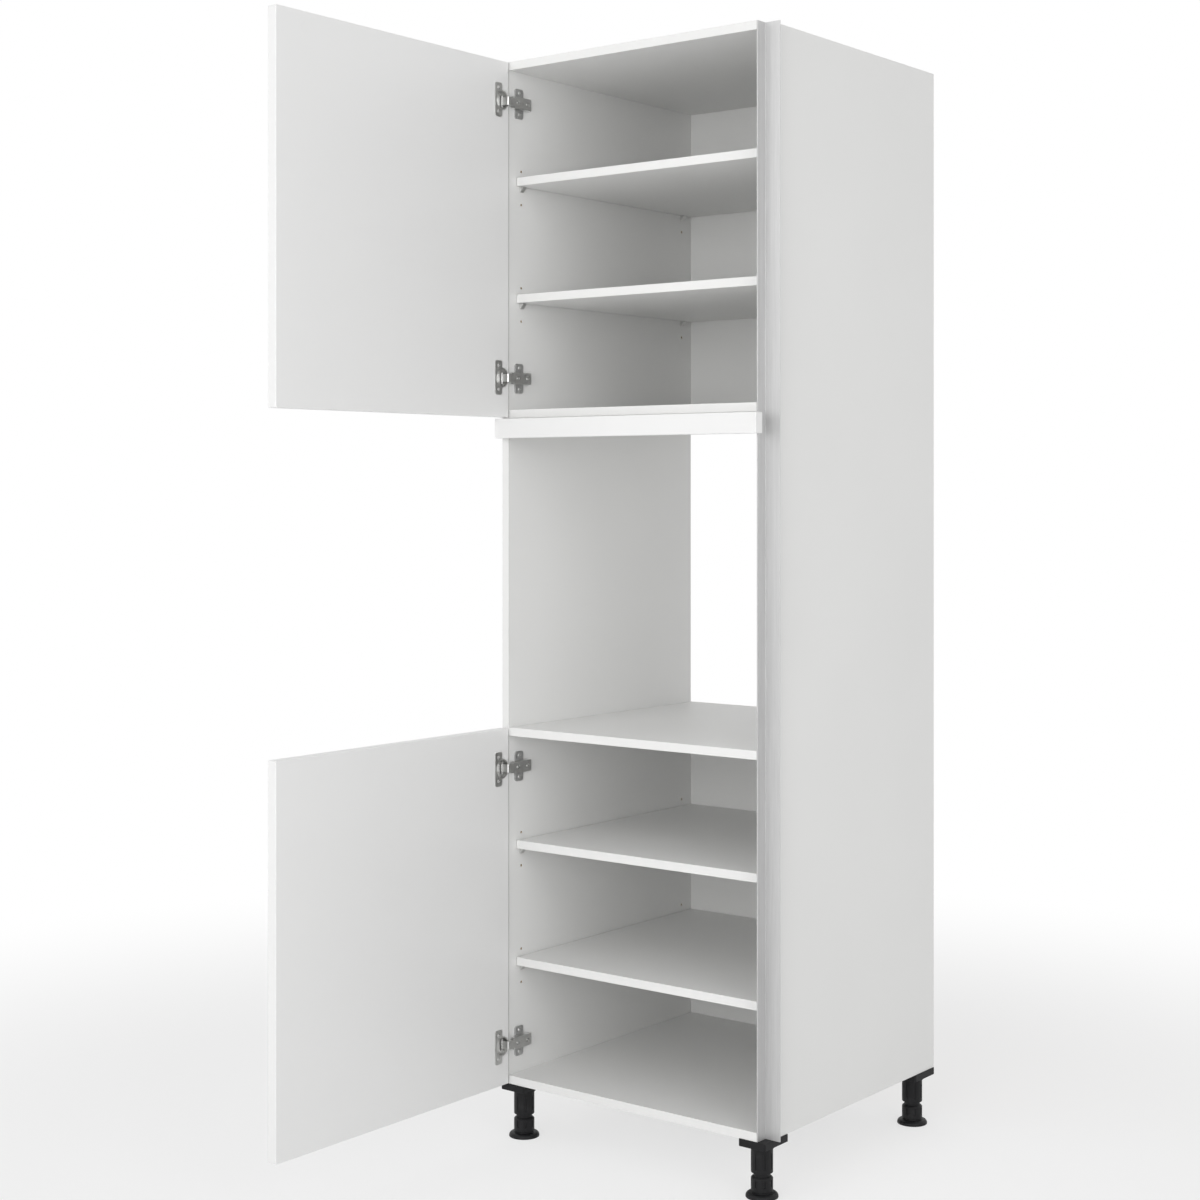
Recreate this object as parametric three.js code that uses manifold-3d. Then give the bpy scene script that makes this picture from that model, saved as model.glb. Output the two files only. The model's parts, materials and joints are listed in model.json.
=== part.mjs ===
// Tall housing unit for a built-in oven: a carcass of coated boards with two doors hinged
// on the left, loose shelves, a closing strip over the oven niche, an upright grip profile
// along the right front corner, and four screw-adjusted legs.
// Millimetres. X runs to the right, Y from the front to the wall, Z up.
// While it is built, x = 0 is the middle, y = 0 the carcass front and z = 0 the floor.

import * as THREE from 'three';
import { mergeVertices } from 'three/addons/utils/BufferGeometryUtils.js';
import Module from 'manifold-3d';

const wasm = await Module();
wasm.setup();

// ---- Driving dimensions ----------------------------------------------------------------

// Carcass
const carcassWidth = 600;
const carcassDepth = 600;
const carcassHeight = 1950;
const boardThickness = 16;
const nicheHeight = 590;
const backThickness = 3;
const backRebateWidth = 8;
const fit = 0.3; // joint left between pieces that are screwed or dowelled together

// Fronts
const frontThickness = 20;
const frontGap = 4; // carcass front to the inner face of a closed door
const frontReveal = 1.5; // half of the joint between two fronts
const frontEdgeRound = 1;
const stripHeight = 37;

// Brackets behind the closing strip
const bracketWidth = 30;
const bracketThickness = 2;
const bracketReach = 42;
const bracketDrop = 30;
const bracketInset = 90; // bracket centre to the outer side of the carcass
const bracketBend = 2;

// Upright grip profile
const gripDepth = 25;
const gripFlange = 32;
const gripWall = 1.5;

// Loose shelves and their bored rows
const shelfSetback = 22;
const shelfSideGap = 1;
const shelfBackGap = 2;
const rowPitch = 32;
const rowInset = 37; // bored row to the carcass front and to its rear
const rowStart = 11; // compartment floor to the first place in a row
const shelfPlaces = [6, 13]; // places of the two shelves, counted in pitches
const sparePlaces = 1; // bored places kept free above and below each shelf
const boreRadius = 2.6;
const boreDepth = 9;

// Shelf supports
const supportShank = 2.3; // radius
const supportShankLength = 8;
const supportReach = 9;
const supportWidth = 10;
const supportTop = 2.5; // shank axis to the face that the shelf lies on
const supportDrop = 8;
const supportLip = 2;

// Door hinges
const hingeInset = 75; // door end to hinge axis height
const openOverlap = 3; // open door's inner face, seen past the side board's inner face
const openClearance = 4; // open door's hinge edge to the carcass front
const cupRadius = 17.5;
const cupDepth = 12.5;
const cupWall = 1;
const cupInset = 3; // door edge to the cup bore
const cupClearance = 0.3;
const flangeThickness = 1.5;
const flangeRim = 1.5; // rim of the flange round the cup
const flangeLength = 65;
const flangeEarWidth = 20;
const flangeEarShift = 9.5; // ears set away from the door edge
const flangeCorner = 5;
const flangeHoleSpacing = 45;
const flangeHoleRadius = 2.2;
const hingePin = 1.25; // radius
const hingeRunning = 0.1; // pin to eye, radial
const eyeRadius = 2.2;
const armThickness = 2.5;
const armNeckWidth = 15.6;
const armWidth = 22;
const armCrown = 11; // top of the arm above the side board
const armBend = 3; // outer radius of the bent neck
const armStart = 4; // carcass front to the start of the arm's channel
const armEnd = 54; // carcass front to the arm's rear end
const armWall = 2;
const armSlotRadius = 3.2;
const armSlotLength = 9;
const armSlotRoundness = 3; // corner radius of the slots
const adjusterPlace = 15; // carcass front to the side adjusting slot
const lockPlace = 43; // carcass front to the fixing slot
const plateThickness = 2.5;
const plateWing = 57;
const plateWingWidth = 24;
const plateInset = 28; // wing's middle to the carcass front
const plateCorner = 5;
const plateHoleSpacing = 41;
const plateHoleRadius = 2.2;
const railClearance = 0.4; // rail of the mounting plate inside the arm

// Legs
const legHeight = 105;
const legPlateThickness = 13;
const legPlateWidth = 56; // along X
const legPlateLength = 76; // along Y
const legPlateOverhang = 2; // past the outer side and the front
const legPlateCorner = 4;
const legSideInset = 27; // leg axis to the outer side
const legFrontInset = 33;
const legRearInset = 38;
const legTubeRadius = 19.5;
const legTubeWall = 4;
const legTubeBottom = 43.5; // above the floor
const legTubeEase = 1;
const legSocketDepth = 8;
const legSocketWall = 2.5;
const legSocketSkirt = 5; // ring of the socket below its plate
const spindleRadius = 15;
const spindleTop = 84; // above the floor
const collarTop = 37;
const collarBottom = 11.5;
const collarChamfer = 3;
const footRadius = 29;
const footRim = 2; // height of the foot's upright edge
const footDome = 2; // width of the foot's step out past its collar
const footNeck = 3; // groove between the foot and its collar
const legGrooves = 8;
const legGrooveWidth = 3;
const legGrooveDepth = 1.2;
const legGrooveMargin = 8; // groove end to the tube's own ends
const footGrooveDepth = 1.5;
const footDomeSteps = 3;

// Facets round a full turn, and how far a cutter runs past the face it cuts
const largeRound = 26;
const smallRound = 12;
const boreRound = 8;
const overrun = 2;

// ---- Places worked out from them -------------------------------------------------------

const halfWidth = carcassWidth / 2;
const halfInner = halfWidth - boardThickness;
const boardSpan = 2 * (halfInner - fit);
const boardDepth = carcassDepth - backThickness - fit;
const compartmentHeight = (carcassHeight - nicheHeight - 4 * boardThickness) / 2;

const carcassBottom = legHeight;
const carcassTop = carcassBottom + carcassHeight;
const lowerFloor = carcassBottom + boardThickness;
const nicheFloor = lowerFloor + compartmentHeight + boardThickness;
const nicheCeiling = nicheFloor + nicheHeight;
const upperFloor = nicheCeiling + boardThickness;

const gripBack = gripDepth + gripWall;
const frontWidth = carcassWidth - 2 * frontReveal;
const stripTop = nicheCeiling - frontReveal;
const stripBottom = stripTop - stripHeight;

const lowerDoor = { bottom: carcassBottom + frontReveal, top: nicheFloor - frontReveal };
const upperDoor = { bottom: nicheCeiling + frontReveal, top: carcassTop - frontReveal };

// The door's rest place is a quarter turn from its closed place. The one axis that joins
// both places lies inside the hinge cup; it follows from where the two door places are.
const hingeSideOverlay = boardThickness - frontReveal;
const axisAcross = (openOverlap + frontGap - openClearance - hingeSideOverlay) / 2;
const axisAhead = (openOverlap + frontGap + openClearance + hingeSideOverlay) / 2;
const cupCentre = openClearance + cupInset + cupRadius; // ahead of the carcass front

// ---- Materials -------------------------------------------------------------------------

const finish = (color, roughness, metalness) =>
  new THREE.MeshStandardMaterial({ color, roughness, metalness });
const coatedBoard = () => finish(0xf3f3f1, 0.55, 0);
const satinFront = () => finish(0xf7f7f5, 0.4, 0);
const hardboard = () => finish(0xefeeea, 0.7, 0);
const anodised = () => finish(0xc8c9cb, 0.4, 0.9);
const nickel = () => finish(0xb9bbbd, 0.3, 1);
const zincCast = () => finish(0xa9abad, 0.4, 1);
const blackPlastic = () => finish(0x1b1b1c, 0.55, 0);

// ---- Making solids ---------------------------------------------------------------------

// A closed position-only geometry as a solid that can be joined and cut.
function solid(geometry) {
  const bare = geometry.clone();
  bare.deleteAttribute('normal');
  bare.deleteAttribute('uv');
  const merged = mergeVertices(bare, 1e-4);
  return new wasm.Manifold(new wasm.Mesh({
    numProp: 3,
    vertProperties: new Float32Array(merged.attributes.position.array),
    triVerts: new Uint32Array(merged.index.array),
  }));
}

// A joined or cut solid as a geometry again.
function shaped(manifold) {
  const made = manifold.getMesh();
  const geometry = new THREE.BufferGeometry();
  geometry.setAttribute('position', new THREE.BufferAttribute(made.vertProperties, 3));
  geometry.setIndex(new THREE.BufferAttribute(made.triVerts, 1));
  geometry.computeVertexNormals();
  return geometry;
}

const cut = (geometry, cutters) =>
  shaped(cutters.reduce((body, cutter) => body.subtract(solid(cutter)), solid(geometry)));
const join = (geometry, others) =>
  shaped(others.reduce((body, other) => body.add(solid(other)), solid(geometry)));

// A box between two corners.
function block(low, high) {
  const size = high.map((value, axis) => value - low[axis]);
  const middle = high.map((value, axis) => (value + low[axis]) / 2);
  return new THREE.BoxGeometry(...size).translate(...middle);
}

// A flat outline drawn in XY, raised along Z and centred on z = 0.
function raised(shape, height, segments = 8) {
  const options = { depth: height, bevelEnabled: false, curveSegments: segments };
  return new THREE.ExtrudeGeometry(shape, options).translate(0, 0, -height / 2);
}

// Turns a form drawn in XY and raised along Z so that it is drawn in YZ and raised along X.
function alongX(geometry) {
  const basis = new THREE.Matrix4().makeBasis(
    new THREE.Vector3(0, 1, 0), new THREE.Vector3(0, 0, 1), new THREE.Vector3(1, 0, 0));
  return geometry.applyMatrix4(basis);
}

function rod(radius, length, segments) {
  return new THREE.CylinderGeometry(radius, radius, length, segments).rotateX(Math.PI / 2);
}

// A turned form about Z from [radius, height] points that start and end on the axis, or
// close on themselves where it has a bore.
function turned(profile, segments) {
  const points = profile.map(([radius, height]) => new THREE.Vector2(radius, height));
  return new THREE.LatheGeometry(points, segments).rotateX(Math.PI / 2);
}

function roundedRectangle(width, height, radius) {
  const x = width / 2;
  const y = height / 2;
  const shape = new THREE.Shape();
  shape.moveTo(-x + radius, -y);
  shape.lineTo(x - radius, -y);
  shape.absarc(x - radius, -y + radius, radius, -Math.PI / 2, 0, false);
  shape.lineTo(x, y - radius);
  shape.absarc(x - radius, y - radius, radius, 0, Math.PI / 2, false);
  shape.lineTo(-x + radius, y);
  shape.absarc(-x + radius, y - radius, radius, Math.PI / 2, Math.PI, false);
  shape.lineTo(-x, -y + radius);
  shape.absarc(-x + radius, -y + radius, radius, Math.PI, Math.PI * 1.5, false);
  return shape;
}

function polygon(points) {
  const shape = new THREE.Shape();
  points.forEach(([x, y], index) => (index ? shape.lineTo(x, y) : shape.moveTo(x, y)));
  return shape;
}

// ---- Assembly --------------------------------------------------------------------------

const unit = new THREE.Group();

function piece(name, geometry, material, place = [0, 0, 0], parent = unit) {
  const mesh = new THREE.Mesh(geometry, material);
  mesh.name = name;
  mesh.position.set(...place);
  parent.add(mesh);
  return mesh;
}

// ---- Carcass ---------------------------------------------------------------------------

// Heights of the shank axes of the loose shelves' supports, from the floor.
const compartments = [
  { name: 'lower', floor: lowerFloor },
  { name: 'upper', floor: upperFloor },
];
const placeHeight = (floor, place) => floor + rowStart + place * rowPitch;
const rowDepths = [rowInset, carcassDepth - rowInset];

function shelfBores(innerFace, outward) {
  const bores = [];
  for (const { floor } of compartments) {
    for (const place of shelfPlaces) {
      for (let step = -sparePlaces; step <= sparePlaces; step += 1) {
        for (const depth of rowDepths) {
          const bore = new THREE.CylinderGeometry(
            boreRadius, boreRadius, 2 * boreDepth, boreRound);
          bore.rotateZ(Math.PI / 2);
          bore.translate(innerFace, depth, placeHeight(floor, place + step));
          bores.push(bore);
        }
      }
    }
  }
  const rebateLow = Math.min(innerFace, innerFace + outward * backRebateWidth);
  bores.push(block(
    [rebateLow, boardDepth, carcassBottom - overrun],
    [rebateLow + backRebateWidth, carcassDepth + overrun, carcassTop + overrun]));
  return bores;
}

function sideBoard(name, outward, front) {
  const inner = outward * halfInner;
  const outer = outward * halfWidth;
  const board = block(
    [Math.min(inner, outer), front, carcassBottom],
    [Math.max(inner, outer), carcassDepth, carcassTop]);
  piece(name, cut(board, shelfBores(inner, outward)), coatedBoard());
}

function levelBoard(name, underside) {
  const board = new THREE.BoxGeometry(boardSpan, boardDepth - fit, boardThickness);
  piece(name, board, coatedBoard(), [0, (boardDepth - fit) / 2, underside + boardThickness / 2]);
}

function backPanel(name, bottom, top) {
  const width = 2 * (halfInner + backRebateWidth - fit);
  const panel = new THREE.BoxGeometry(width, backThickness, top - bottom);
  const middle = [0, carcassDepth - backThickness / 2, (bottom + top) / 2];
  piece(name, panel, hardboard(), middle);
}

sideBoard('side_left', -1, 0);
sideBoard('side_right', 1, gripBack + fit);
levelBoard('bottom_board', carcassBottom);
levelBoard('niche_floor', nicheFloor - boardThickness);
levelBoard('niche_ceiling', nicheCeiling);
levelBoard('top_board', carcassTop - boardThickness);
backPanel('back_lower', carcassBottom, nicheFloor);
backPanel('back_upper', nicheCeiling, carcassTop);

// ---- Loose shelves and their supports --------------------------------------------------

function shelfSupport() {
  const outline = polygon([
    [fit, -supportDrop],
    [supportLip, -supportDrop],
    [supportReach, supportTop - supportLip],
    [supportReach, supportTop],
    [fit, supportTop],
  ]);
  const bracket = raised(outline, supportWidth).rotateX(Math.PI / 2);
  const length = supportShankLength + supportLip;
  const shank = new THREE.CylinderGeometry(supportShank, supportShank, length, boreRound);
  shank.rotateZ(Math.PI / 2);
  shank.translate(length / 2 - supportShankLength, 0, 0);
  return join(bracket, [shank]);
}

function looseShelf(name, axisHeight) {
  const width = 2 * (halfInner - shelfSideGap);
  const depth = boardDepth - shelfBackGap - shelfSetback;
  const underside = axisHeight + supportTop + fit;
  const shelf = new THREE.BoxGeometry(width, depth, boardThickness);
  piece(name, shelf, coatedBoard(),
    [0, shelfSetback + depth / 2, underside + boardThickness / 2]);
  [['left', -1], ['right', 1]].forEach(([side, outward]) => {
    ['front', 'rear'].forEach((end, row) => {
      const support = piece(`${name}_support_${side}_${end}`, shelfSupport(), nickel(),
        [outward * halfInner, rowDepths[row], axisHeight]);
      support.rotation.z = outward > 0 ? Math.PI : 0;
    });
  });
}

for (const { name, floor } of compartments) {
  shelfPlaces.forEach((place, index) => {
    looseShelf(`${name}_shelf_${index + 1}`, placeHeight(floor, place));
  });
}

// ---- Closing strip and its brackets ----------------------------------------------------

// A front panel with eased edges: width, height, and its thickness last.
function easedPanel(width, height) {
  const shape = roundedRectangle(
    width - 2 * frontEdgeRound, height - 2 * frontEdgeRound, frontEdgeRound);
  return new THREE.ExtrudeGeometry(shape, {
    depth: frontThickness - 2 * frontEdgeRound,
    bevelEnabled: true,
    bevelSize: frontEdgeRound,
    bevelThickness: frontEdgeRound,
    bevelSegments: 2,
    curveSegments: 2,
  }).translate(0, 0, -(frontThickness - 2 * frontEdgeRound) / 2);
}

function closingStrip() {
  const panel = easedPanel(frontWidth, stripHeight).rotateX(Math.PI / 2);
  piece('closing_strip', panel, satinFront(),
    [0, -frontGap - frontThickness / 2, stripBottom + stripHeight / 2]);
}

// A bent angle: down the strip's rear face and back under the niche ceiling.
function stripBracket(name, x) {
  const front = -frontGap + fit;
  const top = nicheCeiling - fit;
  const outline = new THREE.Shape();
  outline.moveTo(front, top - bracketDrop);
  outline.lineTo(front + bracketThickness, top - bracketDrop);
  outline.lineTo(front + bracketThickness, top - bracketThickness);
  outline.lineTo(front + bracketReach, top - bracketThickness);
  outline.lineTo(front + bracketReach, top);
  outline.lineTo(front + bracketBend, top);
  outline.absarc(front + bracketBend, top - bracketBend, bracketBend,
    Math.PI / 2, Math.PI, false);
  const angle = alongX(raised(outline, bracketWidth, 4));
  piece(name, angle, nickel(), [x, 0, 0]);
}

closingStrip();
stripBracket('strip_bracket_left', -halfWidth + bracketInset);
stripBracket('strip_bracket_right', halfWidth - bracketInset);

// ---- Grip profile ----------------------------------------------------------------------

function gripProfile() {
  const right = halfInner + gripFlange;
  const outline = polygon([
    [halfInner, 0],
    [halfInner + gripWall, 0],
    [halfInner + gripWall, gripDepth],
    [right, gripDepth],
    [right, gripBack],
    [halfInner, gripBack],
  ]);
  piece('grip_profile', raised(outline, carcassHeight), anodised(),
    [0, 0, carcassBottom + carcassHeight / 2]);
}

gripProfile();

// ---- Doors and hinges ------------------------------------------------------------------

// Inside a hinge group x runs from the side board's inner face into the carcass, y from the
// carcass front to the wall, and z = 0 is the hinge's own height.

function cupPocket() {
  const radius = cupRadius + cupClearance;
  const depth = cupDepth + cupClearance;
  return new THREE.CylinderGeometry(radius, radius, 2 * depth, largeRound).rotateZ(Math.PI / 2);
}

// The door stands open: its inner face looks along +X, its hinge edge towards the carcass.
function door(name, { bottom, top }, hingeHeights) {
  const height = top - bottom;
  const face = -halfInner + openOverlap;
  const panel = alongX(easedPanel(frontWidth, height));
  const middle = [
    face - frontThickness / 2,
    -openClearance - frontWidth / 2,
    bottom + height / 2,
  ];
  const pockets = hingeHeights.map((z) => cupPocket().translate(
    face - middle[0], -cupCentre - middle[1], z - middle[2]));
  piece(name, cut(panel, pockets), satinFront(), middle);
}

// The cup is turned about its own axis, then its flange, ears and pin are joined to it.
function hingeCup() {
  const floor = cupDepth - cupWall;
  const bore = cupRadius - cupWall;
  const bowl = turned([
    [0, -cupDepth],
    [cupRadius - cupWall, -cupDepth],
    [cupRadius, -cupDepth + cupWall],
    [cupRadius, cupClearance],
    [0, cupClearance],
  ], largeRound);
  const rim = rod(cupRadius + flangeRim, flangeThickness, largeRound);
  const ears = raised(roundedRectangle(flangeEarWidth, flangeLength, flangeCorner),
    flangeThickness, 4).translate(-flangeEarShift, 0, 0);
  const lift = cupClearance + flangeThickness / 2;
  rim.translate(0, 0, lift);
  ears.translate(0, 0, lift);
  const hollow = rod(bore, 2 * floor, largeRound);
  const holes = [-1, 1].map((side) => rod(flangeHoleRadius, flangeThickness + overrun, boreRound)
    .translate(-flangeEarShift, side * flangeHoleSpacing / 2, lift));
  const shell = cut(join(bowl, [rim, ears]), [hollow, ...holes]);
  const placed = alongX(shell).translate(openOverlap, -cupCentre, 0);
  const reach = cupCentre - axisAhead; // hinge axis to the cup's own axis
  const pinHalf = Math.sqrt((cupRadius - cupWall / 2) ** 2 - (reach + hingePin) ** 2);
  const pin = rod(hingePin, 2 * pinHalf, smallRound).translate(axisAcross, -axisAhead, 0);
  return join(placed, [pin]);
}

// The neck leaves the eye on the pin, runs straight out of the open cup and bends back into
// the carcass, where it becomes the crown of the channel that sits over the plate's rail.
function hingeArm() {
  const half = armThickness / 2;
  const crownInner = armCrown - armThickness;
  const neckPath = new THREE.Shape();
  neckPath.moveTo(axisAcross, -axisAhead - half);
  neckPath.lineTo(armCrown - armBend, -axisAhead - half);
  neckPath.absarc(armCrown - armBend, -axisAhead - half + armBend, armBend,
    -Math.PI / 2, 0, false);
  neckPath.lineTo(armCrown, armStart + armBend);
  neckPath.lineTo(crownInner, armStart + armBend);
  neckPath.lineTo(crownInner, -axisAhead + half);
  neckPath.lineTo(axisAcross, -axisAhead + half);
  const neck = raised(neckPath, armNeckWidth, 4);
  const eye = rod(eyeRadius, armNeckWidth, smallRound).translate(axisAcross, -axisAhead, 0);
  const low = plateThickness + 2 * fit;
  const channel = block([low, armStart, -armWidth / 2], [armCrown, armEnd, armWidth / 2]);
  const inner = armWidth / 2 - armWall;
  const hollow = block([low - overrun, armStart + armWall, -inner],
    [armCrown - armWall, armEnd + overrun, inner]);
  const eyeBore = rod(hingePin + hingeRunning, armWidth, smallRound)
    .translate(axisAcross, -axisAhead, 0);
  const slots = [adjusterPlace, lockPlace].map((place) => {
    const slot = roundedRectangle(armSlotLength, 2 * armSlotRadius, armSlotRoundness);
    return alongX(raised(slot, 2 * armThickness, 3)).translate(armCrown, place, 0);
  });
  return cut(join(channel, [neck, eye]), [hollow, eyeBore, ...slots]);
}

// A cross: two wings screwed to the side board, and the rail that carries the arm.
function mountingPlate() {
  const top = armCrown - armWall - railClearance;
  const railHalf = armWidth / 2 - armWall - railClearance;
  const railStart = armStart + armWall + railClearance;
  const railEnd = armEnd - railClearance;
  const wings = alongX(raised(roundedRectangle(plateWingWidth, plateWing, plateCorner),
    plateThickness, 4)).translate(fit + plateThickness / 2, plateInset, 0);
  const rail = block([fit, railStart, -railHalf], [top, railEnd, railHalf]);
  const holes = [-1, 1].map((side) => alongX(
    rod(plateHoleRadius, plateThickness + overrun, boreRound))
    .translate(fit + plateThickness / 2, plateInset, side * plateHoleSpacing / 2));
  return cut(join(wings, [rail]), holes);
}

function hinge(name, height) {
  const group = new THREE.Group();
  group.position.set(-halfInner, 0, height);
  unit.add(group);
  piece(`${name}_cup`, hingeCup(), nickel(), [0, 0, 0], group);
  piece(`${name}_arm`, hingeArm(), nickel(), [0, 0, 0], group);
  piece(`${name}_plate`, mountingPlate(), zincCast(), [0, 0, 0], group);
}

function hingedDoor(name, span) {
  const heights = { bottom: span.bottom + hingeInset, top: span.top - hingeInset };
  door(`${name}_door`, span, Object.values(heights));
  for (const [end, height] of Object.entries(heights)) {
    hinge(`${name}_door_${end}_hinge`, height);
  }
}

hingedDoor('lower', lowerDoor);
hingedDoor('upper', upperDoor);

// ---- Legs ------------------------------------------------------------------------------

// Each leg is built about its own axis, with z = 0 on the floor.

function legSocket(plateMiddle) {
  const top = legHeight - fit;
  const bottom = legHeight - legPlateThickness;
  const plate = raised(roundedRectangle(legPlateWidth, legPlateLength, legPlateCorner),
    top - bottom, 4).translate(plateMiddle[0], plateMiddle[1], (top + bottom) / 2);
  const ringBottom = bottom - legSocketSkirt;
  const ringHeight = legSocketSkirt + overrun;
  const ring = rod(legTubeRadius + fit + legSocketWall, ringHeight, largeRound)
    .translate(0, 0, ringBottom + ringHeight / 2);
  const seatTop = bottom + legSocketDepth;
  const seatBottom = ringBottom - overrun;
  const seat = rod(legTubeRadius + fit, seatTop - seatBottom, largeRound)
    .translate(0, 0, (seatTop + seatBottom) / 2);
  return cut(join(plate, [ring]), [seat]);
}

function legTube() {
  const top = legHeight - legPlateThickness + legSocketDepth - fit;
  const bore = legTubeRadius - legTubeWall;
  const wall = turned([
    [bore, legTubeBottom],
    [legTubeRadius - legTubeEase, legTubeBottom],
    [legTubeRadius, legTubeBottom + legTubeEase],
    [legTubeRadius, top],
    [bore, top],
    [bore, legTubeBottom],
  ], largeRound);
  const grooves = [];
  const grooveTop = legHeight - legPlateThickness - legSocketSkirt - legGrooveMargin;
  const grooveBottom = legTubeBottom + legGrooveMargin;
  for (let index = 0; index < legGrooves; index += 1) {
    const groove = block(
      [legTubeRadius - legGrooveDepth, -legGrooveWidth / 2, grooveBottom],
      [legTubeRadius + overrun, legGrooveWidth / 2, grooveTop]);
    grooves.push(groove.rotateZ((index / legGrooves) * 2 * Math.PI));
  }
  return cut(wall, grooves);
}

function screwFoot() {
  const groove = legTubeRadius - footGrooveDepth;
  const domeTop = collarBottom - footNeck;
  const domeFoot = legTubeRadius + footDome;
  const dome = Array.from({ length: footDomeSteps + 1 }, (_, step) => {
    const angle = (step / footDomeSteps) * (Math.PI / 2);
    return [
      domeFoot + (footRadius - domeFoot) * Math.cos(angle),
      footRim + (domeTop - footRim) * Math.sin(angle),
    ];
  });
  return turned([
    [0, 0],
    [footRadius, 0],
    ...dome,
    [groove, domeTop],
    [groove, collarBottom],
    [legTubeRadius, collarBottom],
    [legTubeRadius, collarTop - collarChamfer],
    [legTubeRadius - collarChamfer, collarTop],
    [spindleRadius, collarTop],
    [spindleRadius, spindleTop],
    [0, spindleTop],
  ], largeRound);
}

const legs = {
  front_left: { x: -1, y: legFrontInset, front: -legPlateOverhang },
  front_right: { x: 1, y: legFrontInset, front: -legPlateOverhang },
  rear_left: { x: -1, y: carcassDepth - legRearInset, front: carcassDepth - legPlateLength },
  rear_right: { x: 1, y: carcassDepth - legRearInset, front: carcassDepth - legPlateLength },
};

for (const [name, { x, y, front }] of Object.entries(legs)) {
  const leg = new THREE.Group();
  leg.position.set(x * (halfWidth - legSideInset), y, 0);
  unit.add(leg);
  const plateMiddle = [
    x * (legSideInset + legPlateOverhang - legPlateWidth / 2),
    front + legPlateLength / 2 - y,
  ];
  piece(`leg_${name}_socket`, legSocket(plateMiddle), blackPlastic(), [0, 0, 0], leg);
  piece(`leg_${name}_tube`, legTube(), blackPlastic(), [0, 0, 0], leg);
  piece(`leg_${name}_foot`, screwFoot(), blackPlastic(), [0, 0, 0], leg);
}

// ---- Origin: the middle of the floor under the whole unit, doors standing open ----------

const bounds = new THREE.Box3().setFromObject(unit);
const middle = bounds.getCenter(new THREE.Vector3());
unit.position.set(-middle.x, -middle.y, -bounds.min.z);

export default unit;
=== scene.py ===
# %% [markdown]
# # A tall housing unit for a built-in oven
#
# The object is a white kitchen unit, two metres tall, standing on black screw legs. Two
# doors are open on the left, shelves lie in two compartments, and the niche between
# them waits for an oven. Every board already has its true shape and place in the packed
# model, so most of the work here is finish: coated board, raw chipboard, anodised
# metal, nickel and moulded plastic. Small turned and pressed parts are modelled again
# with more facets.

# %% Load the frame
import json
import math

import bmesh
import bpy
from mathutils import Matrix, Vector


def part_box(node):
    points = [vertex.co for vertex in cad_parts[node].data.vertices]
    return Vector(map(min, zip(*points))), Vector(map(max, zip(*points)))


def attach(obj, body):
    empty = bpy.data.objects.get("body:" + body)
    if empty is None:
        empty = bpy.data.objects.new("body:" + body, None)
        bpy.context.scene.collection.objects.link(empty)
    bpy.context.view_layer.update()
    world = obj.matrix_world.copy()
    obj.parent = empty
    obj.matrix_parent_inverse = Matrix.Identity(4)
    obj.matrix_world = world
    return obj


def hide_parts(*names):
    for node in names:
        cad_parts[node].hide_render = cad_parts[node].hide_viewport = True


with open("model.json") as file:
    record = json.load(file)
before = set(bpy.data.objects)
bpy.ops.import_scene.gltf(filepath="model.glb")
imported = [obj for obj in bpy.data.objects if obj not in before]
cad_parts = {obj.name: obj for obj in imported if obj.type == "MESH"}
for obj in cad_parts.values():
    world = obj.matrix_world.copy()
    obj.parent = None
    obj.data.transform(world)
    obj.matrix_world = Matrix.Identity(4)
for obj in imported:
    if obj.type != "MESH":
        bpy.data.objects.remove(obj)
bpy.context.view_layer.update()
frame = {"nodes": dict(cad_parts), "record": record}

MM = 0.001  # a millimetre in the scene's metres
nodes = frame["nodes"]
print("pieces in the model:", len(nodes))

# %% [markdown]
# ## Camera
#
# The picture looks straight ahead with its uprights upright, like an architect's
# two-point perspective. A level camera does that. Its horizon lies above the middle of
# the picture, so the lens is shifted down in place of tilting the camera, which would
# lean the uprights.

# %% Camera
IMAGE_SIDE = 1200  # pixels of the square picture
HORIZON_ROW = 488.9  # picture row of the eye level, from the top
FOCAL_PIXELS = 2037.4
EYE = Vector((2.2497, -2.9506, 1.2402))
EYE_TURN = math.radians(38.16)  # to the right of straight on
SENSOR = 36.0  # millimetres, as a camera's settings take them

camera_data = bpy.data.cameras.new("camera")
camera_data.sensor_width = SENSOR
camera_data.lens = SENSOR * FOCAL_PIXELS / IMAGE_SIDE
camera_data.shift_y = (HORIZON_ROW - IMAGE_SIDE / 2) / IMAGE_SIDE
camera = bpy.data.objects.new("camera", camera_data)
bpy.context.scene.collection.objects.link(camera)
camera.location = EYE
camera.rotation_euler = (math.pi / 2, 0, EYE_TURN)
bpy.context.scene.camera = camera
print("lens", round(camera_data.lens, 1), "mm, shift", round(camera_data.shift_y, 4))

# %% [markdown]
# ## Shader arithmetic
#
# A finish is a few numbers that change over a surface: how dark, how rough, how high.
# It reads best as arithmetic, so one small class wraps a socket and turns + - * into
# Math nodes. Every other node is made by one method, which takes its type, its settings
# and the values or links of its sockets.

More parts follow.
